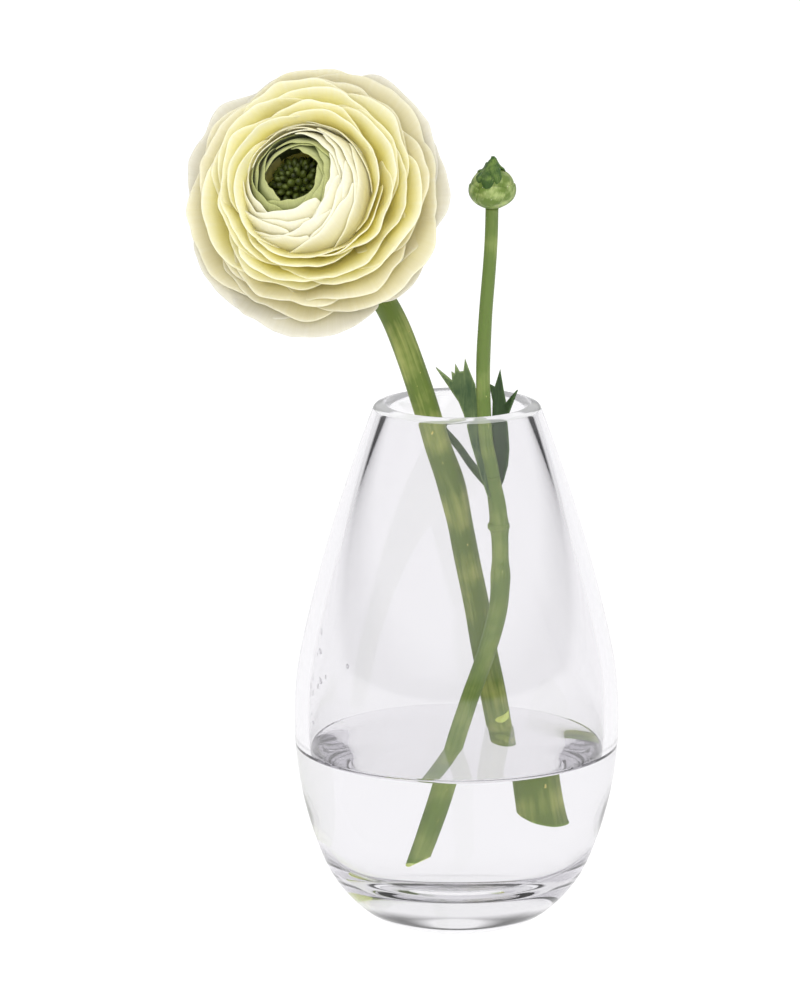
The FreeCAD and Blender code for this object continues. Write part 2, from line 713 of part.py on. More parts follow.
def main():
    doc = FreeCAD.newDocument("bud_vase")
    sheet = make_sheet(doc)
    pieces = [make_vase(doc, sheet)] + make_flower(doc, sheet) + make_bud_shoot(doc, sheet)
    doc.recompute()
    check_document(doc, pieces)
    os.makedirs("parts", exist_ok=True)
    for piece in pieces:
        piece.Shape.exportStep(f"parts/{piece.Label}.step")
        box = piece.Shape.BoundBox
        print(f"{piece.Label}: {len(piece.Shape.Solids)} solids, {piece.Shape.Volume:.0f} mm3,", box)


main()
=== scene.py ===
"""Looks for a glass bud vase with a ranunculus flower and a bud shoot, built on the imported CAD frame.

The frame is in metres. Shapes here are worked out in millimetres and scaled by MM as they are made.
"""

import math
import random

import bmesh
import bpy
import numpy as np
from mathutils import Matrix, Vector, noise


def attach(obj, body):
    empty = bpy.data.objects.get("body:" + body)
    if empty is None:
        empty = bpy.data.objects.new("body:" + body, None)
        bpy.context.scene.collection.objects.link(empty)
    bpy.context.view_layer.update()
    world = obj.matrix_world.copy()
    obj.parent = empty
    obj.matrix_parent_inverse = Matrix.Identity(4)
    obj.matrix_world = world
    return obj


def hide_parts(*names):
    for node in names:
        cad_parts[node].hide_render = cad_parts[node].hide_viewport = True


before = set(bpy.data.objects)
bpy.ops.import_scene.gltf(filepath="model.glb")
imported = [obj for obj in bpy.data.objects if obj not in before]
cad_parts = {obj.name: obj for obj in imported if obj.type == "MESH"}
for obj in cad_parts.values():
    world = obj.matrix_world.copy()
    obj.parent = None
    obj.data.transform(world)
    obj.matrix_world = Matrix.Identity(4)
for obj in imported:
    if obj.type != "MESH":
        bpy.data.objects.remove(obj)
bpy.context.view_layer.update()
MM = 0.001


# ---------------------------------------------------------------- camera, floor and light
CAMERA_PLACE = (-0.014, -1.600, 0.4656)
CAMERA_PITCH = 12.64
CAMERA_LENS = 240.13
CAMERA_CLIP = (0.1, 30.0)


def make_camera():
    data = bpy.data.cameras.new("camera")
    data.lens = CAMERA_LENS
    data.clip_start, data.clip_end = CAMERA_CLIP
    camera = bpy.data.objects.new("camera", data)
    camera.location = CAMERA_PLACE
    camera.rotation_euler = (math.radians(90 - CAMERA_PITCH), 0, 0)
    bpy.context.scene.collection.objects.link(camera)
    bpy.context.scene.camera = camera


def new_object(name, mesh):
    piece = bpy.data.objects.new(name, mesh)
    bpy.context.scene.collection.objects.link(piece)
    return piece


FLOOR_REACH = 20.0
FLOOR_DROP = 0.0001
FLOOR_GLOW = 0.92
FLOOR_SHADE = 0.2
# brightness of the sky by the sine of the elevation: a dark band lies a little above the horizon
SKY = ((0.0, 1.0), (0.03, 1.0), (0.06, 0.03), (0.13, 0.03), (0.22, 1.0))


def make_floor():
    """A white floor just under the vase. Most of its brightness is its own, so it hardly shows a shadow."""
    mesh = bpy.data.meshes.new("floor")
    signs = ((-1, -1), (1, -1), (1, 1), (-1, 1))
    corners = [(x * FLOOR_REACH, y * FLOOR_REACH, -FLOOR_DROP) for x, y in signs]
    mesh.from_pydata(corners, [], [(0, 1, 2, 3)])
    floor = new_object("floor", mesh)
    material, shader, _, _ = principled("floor")
    shader.inputs["Base Color"].default_value = (FLOOR_SHADE, FLOOR_SHADE, FLOOR_SHADE, 1)
    shader.inputs["Roughness"].default_value = 1.0
    shader.inputs["Specular IOR Level"].default_value = 0.0
    shader.inputs["Emission Color"].default_value = (1, 1, 1, 1)
    shader.inputs["Emission Strength"].default_value = FLOOR_GLOW
    mesh.materials.append(material)


# name, place, target, size in metres and power in watts of each lamp
LAMPS = (
    ("key", (0.5, -1.2, 1.6), (0, 0, 0.12), 1.3, 8),
    ("front", (-0.1, -2.2, 0.75), (0, 0, 0.16), 1.6, 19),
)


def make_lamp(name, place, target, size, power):
    """A round soft lamp that the glass doesn't show."""
    data = bpy.data.lights.new(name, "AREA")
    data.shape = "DISK"
    data.size = size
    data.energy = power
    light = bpy.data.objects.new(name, data)
    light.location = place
    light.rotation_euler = (Vector(target) - Vector(place)).to_track_quat("-Z", "Y").to_euler()
    light.visible_glossy = False
    light.visible_transmission = False
    bpy.context.scene.collection.objects.link(light)


def make_world():
    """White sky with a dark band that gives the glass its edges. The camera itself sees only white."""
    world = bpy.data.worlds.new("studio")
    bpy.context.scene.world = world
    world.use_nodes = True
    nodes, links = world.node_tree.nodes, world.node_tree.links
    where = nodes.new("ShaderNodeTexCoord")
    split = nodes.new("ShaderNodeSeparateXYZ")
    links.new(where.outputs["Generated"], split.inputs[0])
    ramp = ramp_node(nodes, [(height, (shade, shade, shade)) for height, shade in SKY])
    links.new(split.outputs["Z"], ramp.inputs[0])
    shade = ramp.outputs[0]
    path = nodes.new("ShaderNodeLightPath")
    seen = nodes.new("ShaderNodeMath")
    seen.operation = "MAXIMUM"
    links.new(shade, seen.inputs[0])
    links.new(path.outputs["Is Camera Ray"], seen.inputs[1])
    glow = nodes["Background"]
    glow.inputs["Color"].default_value = (1, 1, 1, 1)
    links.new(seen.outputs[0], glow.inputs["Strength"])


# ---------------------------------------------------------------- material helpers
def principled(name):
    """A material with a Principled shader. Gives the material, the shader, its nodes and its links."""
    material = bpy.data.materials.new(name)
    material.use_nodes = True
    nodes, links = material.node_tree.nodes, material.node_tree.links
    shader = nodes["Principled BSDF"]
    return material, shader, nodes, links


def ramp_node(nodes, stops):
    """A colour ramp from (position, (r, g, b)) stops, in linear colour."""
    ramp = nodes.new("ShaderNodeValToRGB")
    while len(ramp.color_ramp.elements) < len(stops):
        ramp.color_ramp.elements.new(1.0)
    for element, (position, colour) in zip(ramp.color_ramp.elements, stops):
        element.position = position
        element.color = (*colour, 1)
    return ramp


def rgb(red, green, blue):
    """A display colour from 0 to 255, as linear light."""
    shares = [value / 255 for value in (red, green, blue)]
    return tuple(((share + 0.055) / 1.055) ** 2.4 if share > 0.04 else share / 12.92 for share in shares)


def noise_node(nodes, links, vector, scale, detail=3.0, stretch=None):
    """Noise over a vector socket, stretched by a (x, y, z) scale first if one is given."""
    if stretch:
        mapping = nodes.new("ShaderNodeMapping")
        mapping.inputs["Scale"].default_value = stretch
        links.new(vector, mapping.inputs[0])
        vector = mapping.outputs[0]
    texture = nodes.new("ShaderNodeTexNoise")
    texture.inputs["Scale"].default_value = scale
    texture.inputs["Detail"].default_value = detail
    links.new(vector, texture.inputs["Vector"])
    return texture


def mix_colour(nodes, links, factor, first, second, blend="MIX"):
    """Mixes two colours. Each of the three may be a socket or a value."""
    mix = nodes.new("ShaderNodeMix")
    mix.data_type = "RGBA"
    mix.blend_type = blend
    for socket, value in ((mix.inputs[0], factor), (mix.inputs[6], first), (mix.inputs[7], second)):
        if isinstance(value, bpy.types.NodeSocket):
            links.new(value, socket)
        elif isinstance(value, tuple):
            socket.default_value = (*value, 1)
        else:
            socket.default_value = value
    return mix.outputs[2]


def spread(nodes, links, value, low, high, to_low=0.0, to_high=1.0):
    """Maps a value from low..high to to_low..to_high, clamped."""
    node = nodes.new("ShaderNodeMapRange")
    node.inputs["From Min"].default_value = low
    node.inputs["From Max"].default_value = high
    node.inputs["To Min"].default_value = to_low
    node.inputs["To Max"].default_value = to_high
    links.new(value, node.inputs[0])
    return node.outputs[0]


def add_bump(nodes, links, shader, height, strength, distance):
    """Roughens a shader's surface by a height socket. The distance is in metres."""
    bump = nodes.new("ShaderNodeBump")
    bump.inputs["Strength"].default_value = strength
    bump.inputs["Distance"].default_value = distance
    links.new(height, bump.inputs["Height"])
    links.new(bump.outputs[0], shader.inputs["Normal"])


SHADOW_TINT = (0.97, 0.97, 0.97, 1)
# painted highlight: the colour of the milky haze that brightens the lip
HIGHLIGHT_HAZE_COLOUR = (0.98, 0.98, 1.0, 1)


def clear_material(name, index, tint, highlight_haze=0.0):
    """Clear glass or water. Rays from lamps and from matt surfaces go straight through it.

    The last argument is the share of light that a milky haze scatters, a painted highlight that makes clear
    glass look bright.
    """
    material = bpy.data.materials.new(name)
    material.use_nodes = True
    nodes, links = material.node_tree.nodes, material.node_tree.links
    nodes.clear()
    glass = nodes.new("ShaderNodeBsdfGlass")
    glass.inputs["IOR"].default_value = index
    glass.inputs["Roughness"].default_value = 0.0
    glass.inputs["Color"].default_value = (*tint, 1)
    clear = nodes.new("ShaderNodeBsdfTransparent")
    clear.inputs["Color"].default_value = SHADOW_TINT
    path = nodes.new("ShaderNodeLightPath")
    either = nodes.new("ShaderNodeMath")
    either.operation = "MAXIMUM"
    links.new(path.outputs["Is Shadow Ray"], either.inputs[0])
    links.new(path.outputs["Is Diffuse Ray"], either.inputs[1])
    mix = nodes.new("ShaderNodeMixShader")
    links.new(either.outputs[0], mix.inputs[0])
    surface = glass.outputs[0]
    # painted highlight: a milky haze mixed into the clear glass
    if highlight_haze:
        highlight_scatter = nodes.new("ShaderNodeBsdfTranslucent")
        highlight_scatter.inputs["Color"].default_value = HIGHLIGHT_HAZE_COLOUR
        blend = nodes.new("ShaderNodeMixShader")
        blend.inputs[0].default_value = highlight_haze
        links.new(surface, blend.inputs[1])
        links.new(highlight_scatter.outputs[0], blend.inputs[2])
        surface = blend.outputs[0]
    links.new(surface, mix.inputs[1])
    links.new(clear.outputs[0], mix.inputs[2])
    output = nodes.new("ShaderNodeOutputMaterial")
    links.new(mix.outputs[0], output.inputs[0])
    return material


def see_through_material(name):
    """Nothing to see: the side of the water that touches the glass, whose own material bends the light."""
    material = bpy.data.materials.new(name)
    material.use_nodes = True
    nodes, links = material.node_tree.nodes, material.node_tree.links
    nodes.clear()
    clear = nodes.new("ShaderNodeBsdfTransparent")
    output = nodes.new("ShaderNodeOutputMaterial")
    links.new(clear.outputs[0], output.inputs[0])
    return material


# ---------------------------------------------------------------- vase and water
# The outline's arcs: where the flat base and the flat cavity floor end, then each arc's radius and top
BASE_FLAT = 12.13
FLOOR_FLAT = 12.42
OUTER_RADII = (17.68, 32.17, 91.6, 383.4)
OUTER_HEIGHTS = (3.5, 16.98, 71.06, 130.7)
INNER_RADII = (22.0, 88.1, 352.0)
INNER_HEIGHTS = (29.3, 70.34, 137.0)
GLASS_FLOOR = 13.0
LIP_APEX = 136.3
LIP_ROUNDING = 1.4
# painted highlight: the lip is clear glass, brightened by a milky haze and a lighter tint than the rest of
# the glass
LIP_HIGHLIGHT_HAZE = 0.45
WATER_LEVEL = 44.0
WATER_CLIMB = 1.8
WATER_CLIMB_REACH = 1.6
WATER_GAP = 0.01
GLASS_INDEX = 1.5
WATER_INDEX = 1.33
GLASS_TINT = (0.94, 0.937, 0.945)
WET_TINT = (0.95, 0.948, 0.955)
# painted highlight: a lighter tint than the rest of the glass, so the lip looks bright
LIP_HIGHLIGHT_TINT = (0.975, 0.973, 0.979)
WATER_TINT = (0.9, 0.895, 0.905)
LATHE_SEGMENTS = 256
OUTLINE_STEP = 1.2
SURFACE_RINGS = 40
SURFACE_CROWDING = 0.35


def tangent_arcs(start, radii, heights):
    """Arcs in (radius, height) that begin level at a point and curve up, each tangent to the last."""
    arcs = []
    center = Vector((start[0], start[1] + radii[0]))
    angle = -math.pi / 2
    for index, (radius, height) in enumerate(zip(radii, heights)):
        if index:
            joint = center + radii[index - 1] * Vector((math.cos(angle), math.sin(angle)))
            center = joint - radius * Vector((math.cos(angle), math.sin(angle)))
        last = math.asin((height - center.y) / radius)
        arcs.append((center, radius, angle, last))
        angle = last
    return arcs


def arc_points(arcs, step):
    """Points along a chain of arcs, about a step apart."""
    points = []
    for center, radius, first, last in arcs:
        count = max(6, int(radius * abs(last - first) / step))
        for number in range(count):
            angle = first + (last - first) * number / count
            points.append(center + radius * Vector((math.cos(angle), math.sin(angle))))
    center, radius, _, last = arcs[-1]
    points.append(center + radius * Vector((math.cos(last), math.sin(last))))
    return points


def radius_at(points, height):
    """The radius of a wall's outline at a height."""
    for low, high in zip(points, points[1:]):
        if low.y <= height <= high.y:
            return low.x + (high.x - low.x) * (height - low.y) / max(high.y - low.y, 1e-9)
    raise ValueError(f"no wall at {height}")


def rounded_corner(before, corner, after, radius, steps=8):
    """Points of the arc that rounds a corner between two nearly straight runs."""
    back = (before - corner).normalized()
    ahead = (after - corner).normalized()
    half = math.acos(max(-1.0, min(1.0, back.dot(ahead)))) / 2
    center = corner + (back + ahead).normalized() * radius / math.sin(half)
    first = corner + back * radius / math.tan(half) - center
    last = corner + ahead * radius / math.tan(half) - center
    points = []
    for number in range(steps + 1):
        share = number / steps
        arm = first.lerp(last, share).normalized() * radius
        points.append(center + arm)
    return points


def vase_outline():
    """The glass in (radius, height): outside from the base's middle up, the lip, then the inside down."""
    outer = arc_points(tangent_arcs((BASE_FLAT, 0.0), OUTER_RADII, OUTER_HEIGHTS), OUTLINE_STEP)
    inner = arc_points(tangent_arcs((FLOOR_FLAT, GLASS_FLOOR), INNER_RADII, INNER_HEIGHTS), OUTLINE_STEP)
    rim = outer[-1]
    slope = (LIP_APEX - rim.y) / rim.x
    inner_rim = next(p for p in inner if p.y > LIP_APEX - slope * p.x)
    inner = [p for p in inner if p.y < LIP_APEX - slope * p.x]
    inner_rim = inner[-1].lerp(inner_rim, 0.5)
    inner_rim = Vector((inner_rim.x, LIP_APEX - slope * inner_rim.x))
    lip = rounded_corner(outer[-4], rim, inner_rim, LIP_ROUNDING)
    lip += rounded_corner(rim, inner_rim, inner[-4], LIP_ROUNDING)
    outer = [p for p in outer if p.y < lip[0].y - 0.2]
    inner = [p for p in inner if p.y < lip[-1].y - 0.2]
    contact = WATER_LEVEL + WATER_CLIMB
    inner.append(Vector((radius_at(inner, contact), contact)))
    inner.sort(key=lambda p: (p.y, p.x))
    return outer, lip, inner


def lathe(name, outline, materials, material_of):
    """A closed solid turned from an outline that starts and ends on the axis, in millimetres."""
    mesh = bpy.data.meshes.new(name)
    shape = bmesh.new()
    rings = []
    for point in outline:
        if point.x < 1e-6:
            rings.append([shape.verts.new((0, 0, point.y * MM))])
            continue
        ring = []
        for number in range(LATHE_SEGMENTS):
            angle = 2 * math.pi * number / LATHE_SEGMENTS
            spot = (point.x * math.cos(angle) * MM, point.x * math.sin(angle) * MM, point.y * MM)
            ring.append(shape.verts.new(spot))
        rings.append(ring)
    for index, (low, high) in enumerate(zip(rings, rings[1:])):
        for number in range(LATHE_SEGMENTS):
            after = (number + 1) % LATHE_SEGMENTS
            if len(low) == 1:
                corners = [low[0], high[after], high[number]]
            elif len(high) == 1:
                corners = [low[number], low[after], high[0]]
            else:
                corners = [low[number], low[after], high[after], high[number]]
            face = shape.faces.new(corners)
            face.smooth = True
            face.material_index = material_of(index)
    bmesh.ops.recalc_face_normals(shape, faces=shape.faces)
    shape.to_mesh(mesh)
    shape.free()
    for material in materials:
        mesh.materials.append(material)
    return new_object(name, mesh)


def make_vase():
    outer, lip, inner = vase_outline()
    outline = [Vector((0.0, 0.0))] + outer + lip + inner[::-1] + [Vector((0.0, GLASS_FLOOR))]
    contact = WATER_LEVEL + WATER_CLIMB
    wall = [p for p in inner if p.y <= contact]
    first_wet = len(outline) - 1 - len(wall)
    lip_first = len(outer) + 2
    lip_last = len(outer) + len(lip) - 2

    def glass_for(index):
        if index >= first_wet:
            return 1
        return 2 if lip_first <= index < lip_last else 0

    materials = [
        clear_material("glass", GLASS_INDEX, GLASS_TINT),
        clear_material("wet_glass", GLASS_INDEX / WATER_INDEX, WET_TINT),
        # painted highlight: the lip is the same glass, made bright with a milky haze and a lighter tint
        clear_material("lip_glass_painted_highlight", GLASS_INDEX, LIP_HIGHLIGHT_TINT, LIP_HIGHLIGHT_HAZE),
    ]
    vase = lathe("vase_glass", outline, materials, glass_for)
    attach(vase, "vase")
    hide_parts("vase")
    make_water(wall)


def make_water(wall):
    """The water inside the wetted wall, with a surface that climbs a little where it meets the glass."""
    edge = wall[-1].x - WATER_GAP
    surface = [Vector((0.0, WATER_LEVEL))]
    for number in range(1, SURFACE_RINGS + 1):
        reach = edge * (number / SURFACE_RINGS) ** SURFACE_CROWDING
        climb = WATER_CLIMB * math.exp((reach - edge) / WATER_CLIMB_REACH)
        surface.append(Vector((reach, WATER_LEVEL + climb)))
    side = [Vector((p.x - WATER_GAP, p.y + WATER_GAP)) for p in wall[:-1]]
    bottom = [Vector((0.0, GLASS_FLOOR + WATER_GAP))]
    top_starts = len(bottom + side)
    materials = [see_through_material("water_side"), clear_material("water", WATER_INDEX, WATER_TINT)]
    water = lathe("water", bottom + side + surface[::-1], materials, lambda index: int(index >= top_starts))
    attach(water, "vase")


DROP_COUNT = 14
DROP_HEIGHTS = (50.0, 74.0)
DROP_ANGLES = (158, 222)
DROP_SIZES = (0.25, 0.75)


def make_drops():
    """Small drops of water that cling to the inside of the glass, above the water on the left."""
    _, _, inner = vase_outline()
    draw = random.Random(61)
    shape = bmesh.new()
    for _ in range(DROP_COUNT):
        height = draw.uniform(*DROP_HEIGHTS)
        angle = math.radians(draw.uniform(*DROP_ANGLES))
        size = draw.uniform(*DROP_SIZES)
        thick = 0.4 * size
        outward = Vector((math.cos(angle), math.sin(angle), 0))
        spot = outward * (radius_at(inner, height) - thick - 2 * WATER_GAP) + Vector((0, 0, height))
        place = Matrix.Translation(spot * MM) @ outward.to_track_quat("Z", "Y").to_matrix().to_4x4()
        place = place @ Matrix.Diagonal((size * MM, 1.3 * size * MM, thick * MM, 1))
        bmesh.ops.create_icosphere(shape, subdivisions=3, radius=1.0, matrix=place)
    for face in shape.faces:
        face.smooth = True
    mesh = bpy.data.meshes.new("water_drops")
    shape.to_mesh(mesh)
    shape.free()
    mesh.materials.append(clear_material("drop_water", WATER_INDEX, WATER_TINT))
    drops = new_object("water_drops", mesh)
    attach(drops, "vase")


# ---------------------------------------------------------------- surfaces from grids
def add_grids(mesh, grids):
    """Fills a mesh with one sheet for each (rows, uvs) in grids."""
    points, faces, coords = [], [], []
    for rows, uvs in grids:
        start = len(points)
        wide = len(rows[0])
        for row in rows:
            points.extend(Vector(p) * MM for p in row)
        for row in uvs:
            coords.extend(row)
        for r in range(len(rows) - 1):
            for c in range(wide - 1):
                corner = start + r * wide + c
                faces.append((corner, corner + 1, corner + wide + 1, corner + wide))
    mesh.from_pydata(points, [], faces)
    layer = mesh.uv_layers.new(name="UVMap")
    for loop in mesh.loops:
        layer.data[loop.index].uv = coords[loop.vertex_index]
    for face in mesh.polygons:
        face.use_smooth = True


def thicken(piece, thickness, smooth=0):
    """Gives a sheet a real thickness in millimetres, and rounds it by subdivision if asked."""
    solid = piece.modifiers.new("thickness", "SOLIDIFY")
    solid.thickness = thickness * MM
    solid.offset = 0.0
    if smooth:
        rounding = piece.modifiers.new("smooth", "SUBSURF")
        rounding.levels = smooth
        rounding.render_levels = smooth


def smooth_line(points, per_run=8):
    """A smooth line through points, as a Catmull-Rom curve, in millimetres."""
    points = [Vector(p) for p in points]
    ends = [points[0] * 2 - points[1]] + points + [points[-1] * 2 - points[-2]]
    line = []
    for a, b, c, d in zip(ends, ends[1:], ends[2:], ends[3:]):
        for number in range(per_run):
            t = number / per_run
            line.append(
                0.5 * ((2 * b) + (c - a) * t + (2 * a - 5 * b + 4 * c - d) * t * t
                       + (3 * b - a - 3 * c + d) * t ** 3)
            )
    line.append(points[-1])
    return line


def blend_values(stops, where):
    """The value at a place between (place, value) stops, eased from one to the next."""
    if where <= stops[0][0]:
        return stops[0][1]
    for (low, first), (high, second) in zip(stops, stops[1:]):
        if where <= high:
            share = (where - low) / (high - low)
            share = share * share * (3 - 2 * share)
            return first + (second - first) * share
    return stops[-1][1]


# ---------------------------------------------------------------- stems
FLOWER_STEM_ROUTE = (
    (12.6, 24.0, 21.0),
    (11.9, 23.4, 33.0),
    (10.9, 22.5, 44.6),
    (7.5, 19.2, 62.8),
    (4.7, 15.6, 78.6),
    (2.1, 12.3, 91.9),
    (-1.2, 8.2, 108.0),
    (-5.0, 5.4, 120.0),
    (-9.5, 4.4, 135.0),
    (-15.0, 7.5, 149.4),
    (-20.4, 11.0, 158.5),
    (-26.0, 13.6, 167.5),
    (-30.2, 10.6, 174.2),
    (-31.7, 2.8, 177.8),
)
BUD_STEM_ROUTE = (
    (-8.5, -14.0, 20.0),
    (-4.4, -7.2, 32.0),
    (-0.6, -1.0, 44.6),
    (3.0, 0.0, 55.8),
    (7.1, 1.0, 67.3),
    (10.4, 1.9, 80.0),
    (10.7, 1.6, 93.0),
    (10.1, 1.1, 103.5),
    (8.6, 0.5, 112.7),
)
STALK_ROUTE = (
    (8.6, 0.5, 112.7),
    (8.1, 0.3, 115.9),
    (6.9, -0.1, 123.0),
    (6.3, 0.0, 136.0),
    (6.7, 0.0, 150.0),
    (7.7, 0.0, 164.0),
    (8.2, 0.0, 172.5),
    (8.4, 0.0, 179.7),
)
# (height, radius) along each stem
FLOWER_STEM_RADII = ((20, 3.2), (45, 3.3), (95, 3.2), (108, 3.5), (125, 3.2), (178, 2.9))
BUD_STEM_RADII = (
    (20, 2.2), (60, 2.2), (83, 2.35), (87, 2.5), (92, 2.1), (97, 2.15), (100, 2.5), (103, 2.2), (113, 1.9),
)
STALK_RADII = ((112, 1.9), (123, 1.75), (180, 1.6))
NODE_RING_RADII = ((98.9, 2.3), (99.6, 2.72), (100.4, 2.72), (101.1, 2.3))
# how far the slanting cut lies above the foot of each stem's line, and which way it faces
FLOWER_STEM_CUT = (6.0, (0.4, -0.35, 0.85))
BUD_STEM_CUT = (0.9, (-0.55, 0.2, 0.8))
STEM_SIDES = 40
STEM_RIBS = 7
NODE_RING_ROUTE = ((10.37, 1.3, 98.9), (10.31, 1.26, 100.0), (10.25, 1.22, 101.1))
TORN_SKIN = Vector((11.4, 19.4, 47.2))


def make_stem(name, route, radius_stops, rib, materials, cut=None):
    """A ribbed stem along a smooth line. radius_stops are (height, radius); cut slants its foot."""
    line = smooth_line(route, 10)
    rows, uvs = [], []
    side = Vector((1, 0, 0))
    length = 0.0
    for number, here in enumerate(line):
        ahead = line[min(number + 1, len(line) - 1)] - line[max(number - 1, 0)]
        ahead.normalize()
        side = (side - ahead * side.dot(ahead)).normalized()
        other = ahead.cross(side)
        if number:
            length += (here - line[number - 1]).length
        radius = blend_values(radius_stops, here.z)
        row, row_uv = [], []
        for k in range(STEM_SIDES + 1):
            angle = 2 * math.pi * k / STEM_SIDES
            wobble = noise.noise(Vector((math.cos(angle), math.sin(angle), length * 0.08))) * 0.05
            bulge = 1 + rib * math.cos(angle * STEM_RIBS) + wobble
            arm = (side * math.cos(angle) + other * math.sin(angle)) * radius * bulge
            row.append(here + arm)
            row_uv.append((k / STEM_SIDES, length))
        rows.append(row)
        uvs.append(row_uv)
    if cut:
        cut_foot(rows, line, *cut)
    mesh = bpy.data.meshes.new(name)
    add_grids(mesh, [(rows, uvs)])
    close_ends(mesh)
    for material in materials:
        mesh.materials.append(material)
    return new_object(name, mesh)


def cut_foot(rows, line, height, facing):
    """Cuts a stem's foot at a slant, by pushing what is past the cut back along the stem."""
    foot, facing = line[0] + Vector((0, 0, height)), Vector(facing).normalized()
    ahead = (line[3] - line[0]).normalized()
    for row in rows:
        for k, point in enumerate(row):
            depth = (foot - point).dot(facing)
            if depth > 0:
                row[k] = point + ahead * depth / ahead.dot(facing)


def close_ends(mesh):
    """Welds a tube's seam and caps its ends with the second material."""
    shape = bmesh.new()
    shape.from_mesh(mesh)
    bmesh.ops.remove_doubles(shape, verts=shape.verts, dist=1e-7)
    loops = [e for e in shape.edges if e.is_boundary]
    made = bmesh.ops.holes_fill(shape, edges=loops, sides=0)
    for face in made["faces"]:
        face.material_index = 1
        face.smooth = False
    bmesh.ops.recalc_face_normals(shape, faces=shape.faces)
    shape.to_mesh(mesh)
    shape.free()


def stem_material(name, light, dark, fleck, streak=0.5, patch=90.0):
    """Plant green in long streaks, paler flecks, a fine ribbed bump and a soft glow."""
    material, shader, nodes, links = principled(name)
    uv = nodes.new("ShaderNodeUVMap").outputs[0]
    place = nodes.new("ShaderNodeTexCoord").outputs["Object"]
    streaks = noise_node(nodes, links, uv, 1.0, 4.0, (26.0, 0.05, 1.0))
    patches = noise_node(nodes, links, place, patch, 3.0)
    blotch = nodes.new("ShaderNodeMath")
    blotch.operation = "MULTIPLY_ADD"
    links.new(streaks.outputs[0], blotch.inputs[0])
    blotch.inputs[1].default_value = streak
    links.new(patches.outputs[0], blotch.inputs[2])
    share = spread(nodes, links, blotch.outputs[0], 0.45 + streak / 2, 0.6 + streak / 2 + 0.1)
    colour = mix_colour(nodes, links, share, dark, light)
    specks = noise_node(nodes, links, uv, 1.0, 2.0, (14.0, 0.5, 1.0))
    speck = spread(nodes, links, specks.outputs[0], 0.72, 0.76)
    colour = mix_colour(nodes, links, speck, colour, fleck)
    links.new(colour, shader.inputs["Base Color"])
    shader.inputs["Roughness"].default_value = 0.5
    shader.inputs["Specular IOR Level"].default_value = 0.35
    shader.inputs["Subsurface Weight"].default_value = 0.25
    shader.inputs["Subsurface Radius"].default_value = (0.4, 0.8, 0.15)
    shader.inputs["Subsurface Scale"].default_value = 0.002
    ribs = noise_node(nodes, links, uv, 1.0, 5.0, (60.0, 0.4, 1.0))
    add_bump(nodes, links, shader, ribs.outputs[0], 0.25, 0.0003)
    return material


def make_stems():
    green = stem_material("stem_green", rgb(148, 155, 86), rgb(94, 112, 47), rgb(205, 190, 110))
    fresh = stem_material("shoot_green", rgb(140, 152, 88), rgb(96, 116, 54), rgb(170, 175, 110), 0.3)
    pith = stem_material("cut_pith", rgb(205, 210, 130), rgb(170, 185, 90), rgb(215, 215, 150), 0.2)
    stem = make_stem(
        "flower_stem_skin", FLOWER_STEM_ROUTE, FLOWER_STEM_RADII, 0.012, [green, pith], FLOWER_STEM_CUT
    )
    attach(stem, "flower")
    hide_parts("flower_stem")
    shoot = make_stem("bud_stem_skin", BUD_STEM_ROUTE, BUD_STEM_RADII, 0.012, [fresh, pith], BUD_STEM_CUT)
    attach(shoot, "bud_shoot")
    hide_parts("bud_stem")
    ring = make_stem("bud_stem_node", NODE_RING_ROUTE, NODE_RING_RADII, 0.0, [fresh, fresh])
    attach(ring, "bud_shoot")
    make_torn_skin(pith)
    stalk = make_stem("bud_stalk_skin", STALK_ROUTE, STALK_RADII, 0.015, [fresh, pith])
    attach(stalk, "bud_shoot")
    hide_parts("bud_peduncle")


def make_torn_skin(material):
    """A curl of skin torn from the flower's stem, just above the water."""
    rows, uvs = [], []
    for a in range(9):
        t = a / 8
        row, row_uv = [], []
        for c in range(17):
            s = c / 8 - 1
            lift = 1.5 * (1 - s * s) * t * (1.2 - 0.5 * t)
            ragged = 0.35 * noise.noise(Vector((s * 4.0, t * 2.0, 1.0)))
            drop = 1.7 * t * (1 - 0.6 * s * s) + ragged * t
            row.append(TORN_SKIN + Vector((2.1 * s, 0.7 * s * s - lift, 1.2 * s * s * (1 - t) - drop)))
            row_uv.append((c / 16, t))
        rows.append(row)
        uvs.append(row_uv)
    mesh = bpy.data.meshes.new("torn_skin")
    add_grids(mesh, [(rows, uvs)])
    mesh.materials.append(material)
    skin = new_object("torn_skin", mesh)
    thicken(skin, 0.35, 1)
    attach(skin, "flower")


# ---------------------------------------------------------------- bloom
BLOOM_BASE = Vector((-32.2, 1.0, 179.9))
BLOOM_AXIS = Vector((-0.16, -0.912, 0.379)).normalized()
BLOOM_RIGHT = Vector((0, 0, 1)).cross(BLOOM_AXIS).normalized()
BLOOM_UP = BLOOM_AXIS.cross(BLOOM_RIGHT)
CORE_HEIGHT = 17.0
CORE_LEAN = math.radians(17)
CORE_LEAN_TOWARDS = math.radians(138)
CORE_SHIFT = (-1.9, 0.1)
PETAL_THICKNESS = 0.28
ACROSS = 30
ALONG = 22


def bloom_point(radius, angle, height):
    """A point in the flower's own frame: angle 0 is its right and 90 degrees its top."""
    return (
        BLOOM_BASE
        + BLOOM_RIGHT * (radius * math.cos(angle))
        + BLOOM_UP * (radius * math.sin(angle))
        + BLOOM_AXIS * height
    )


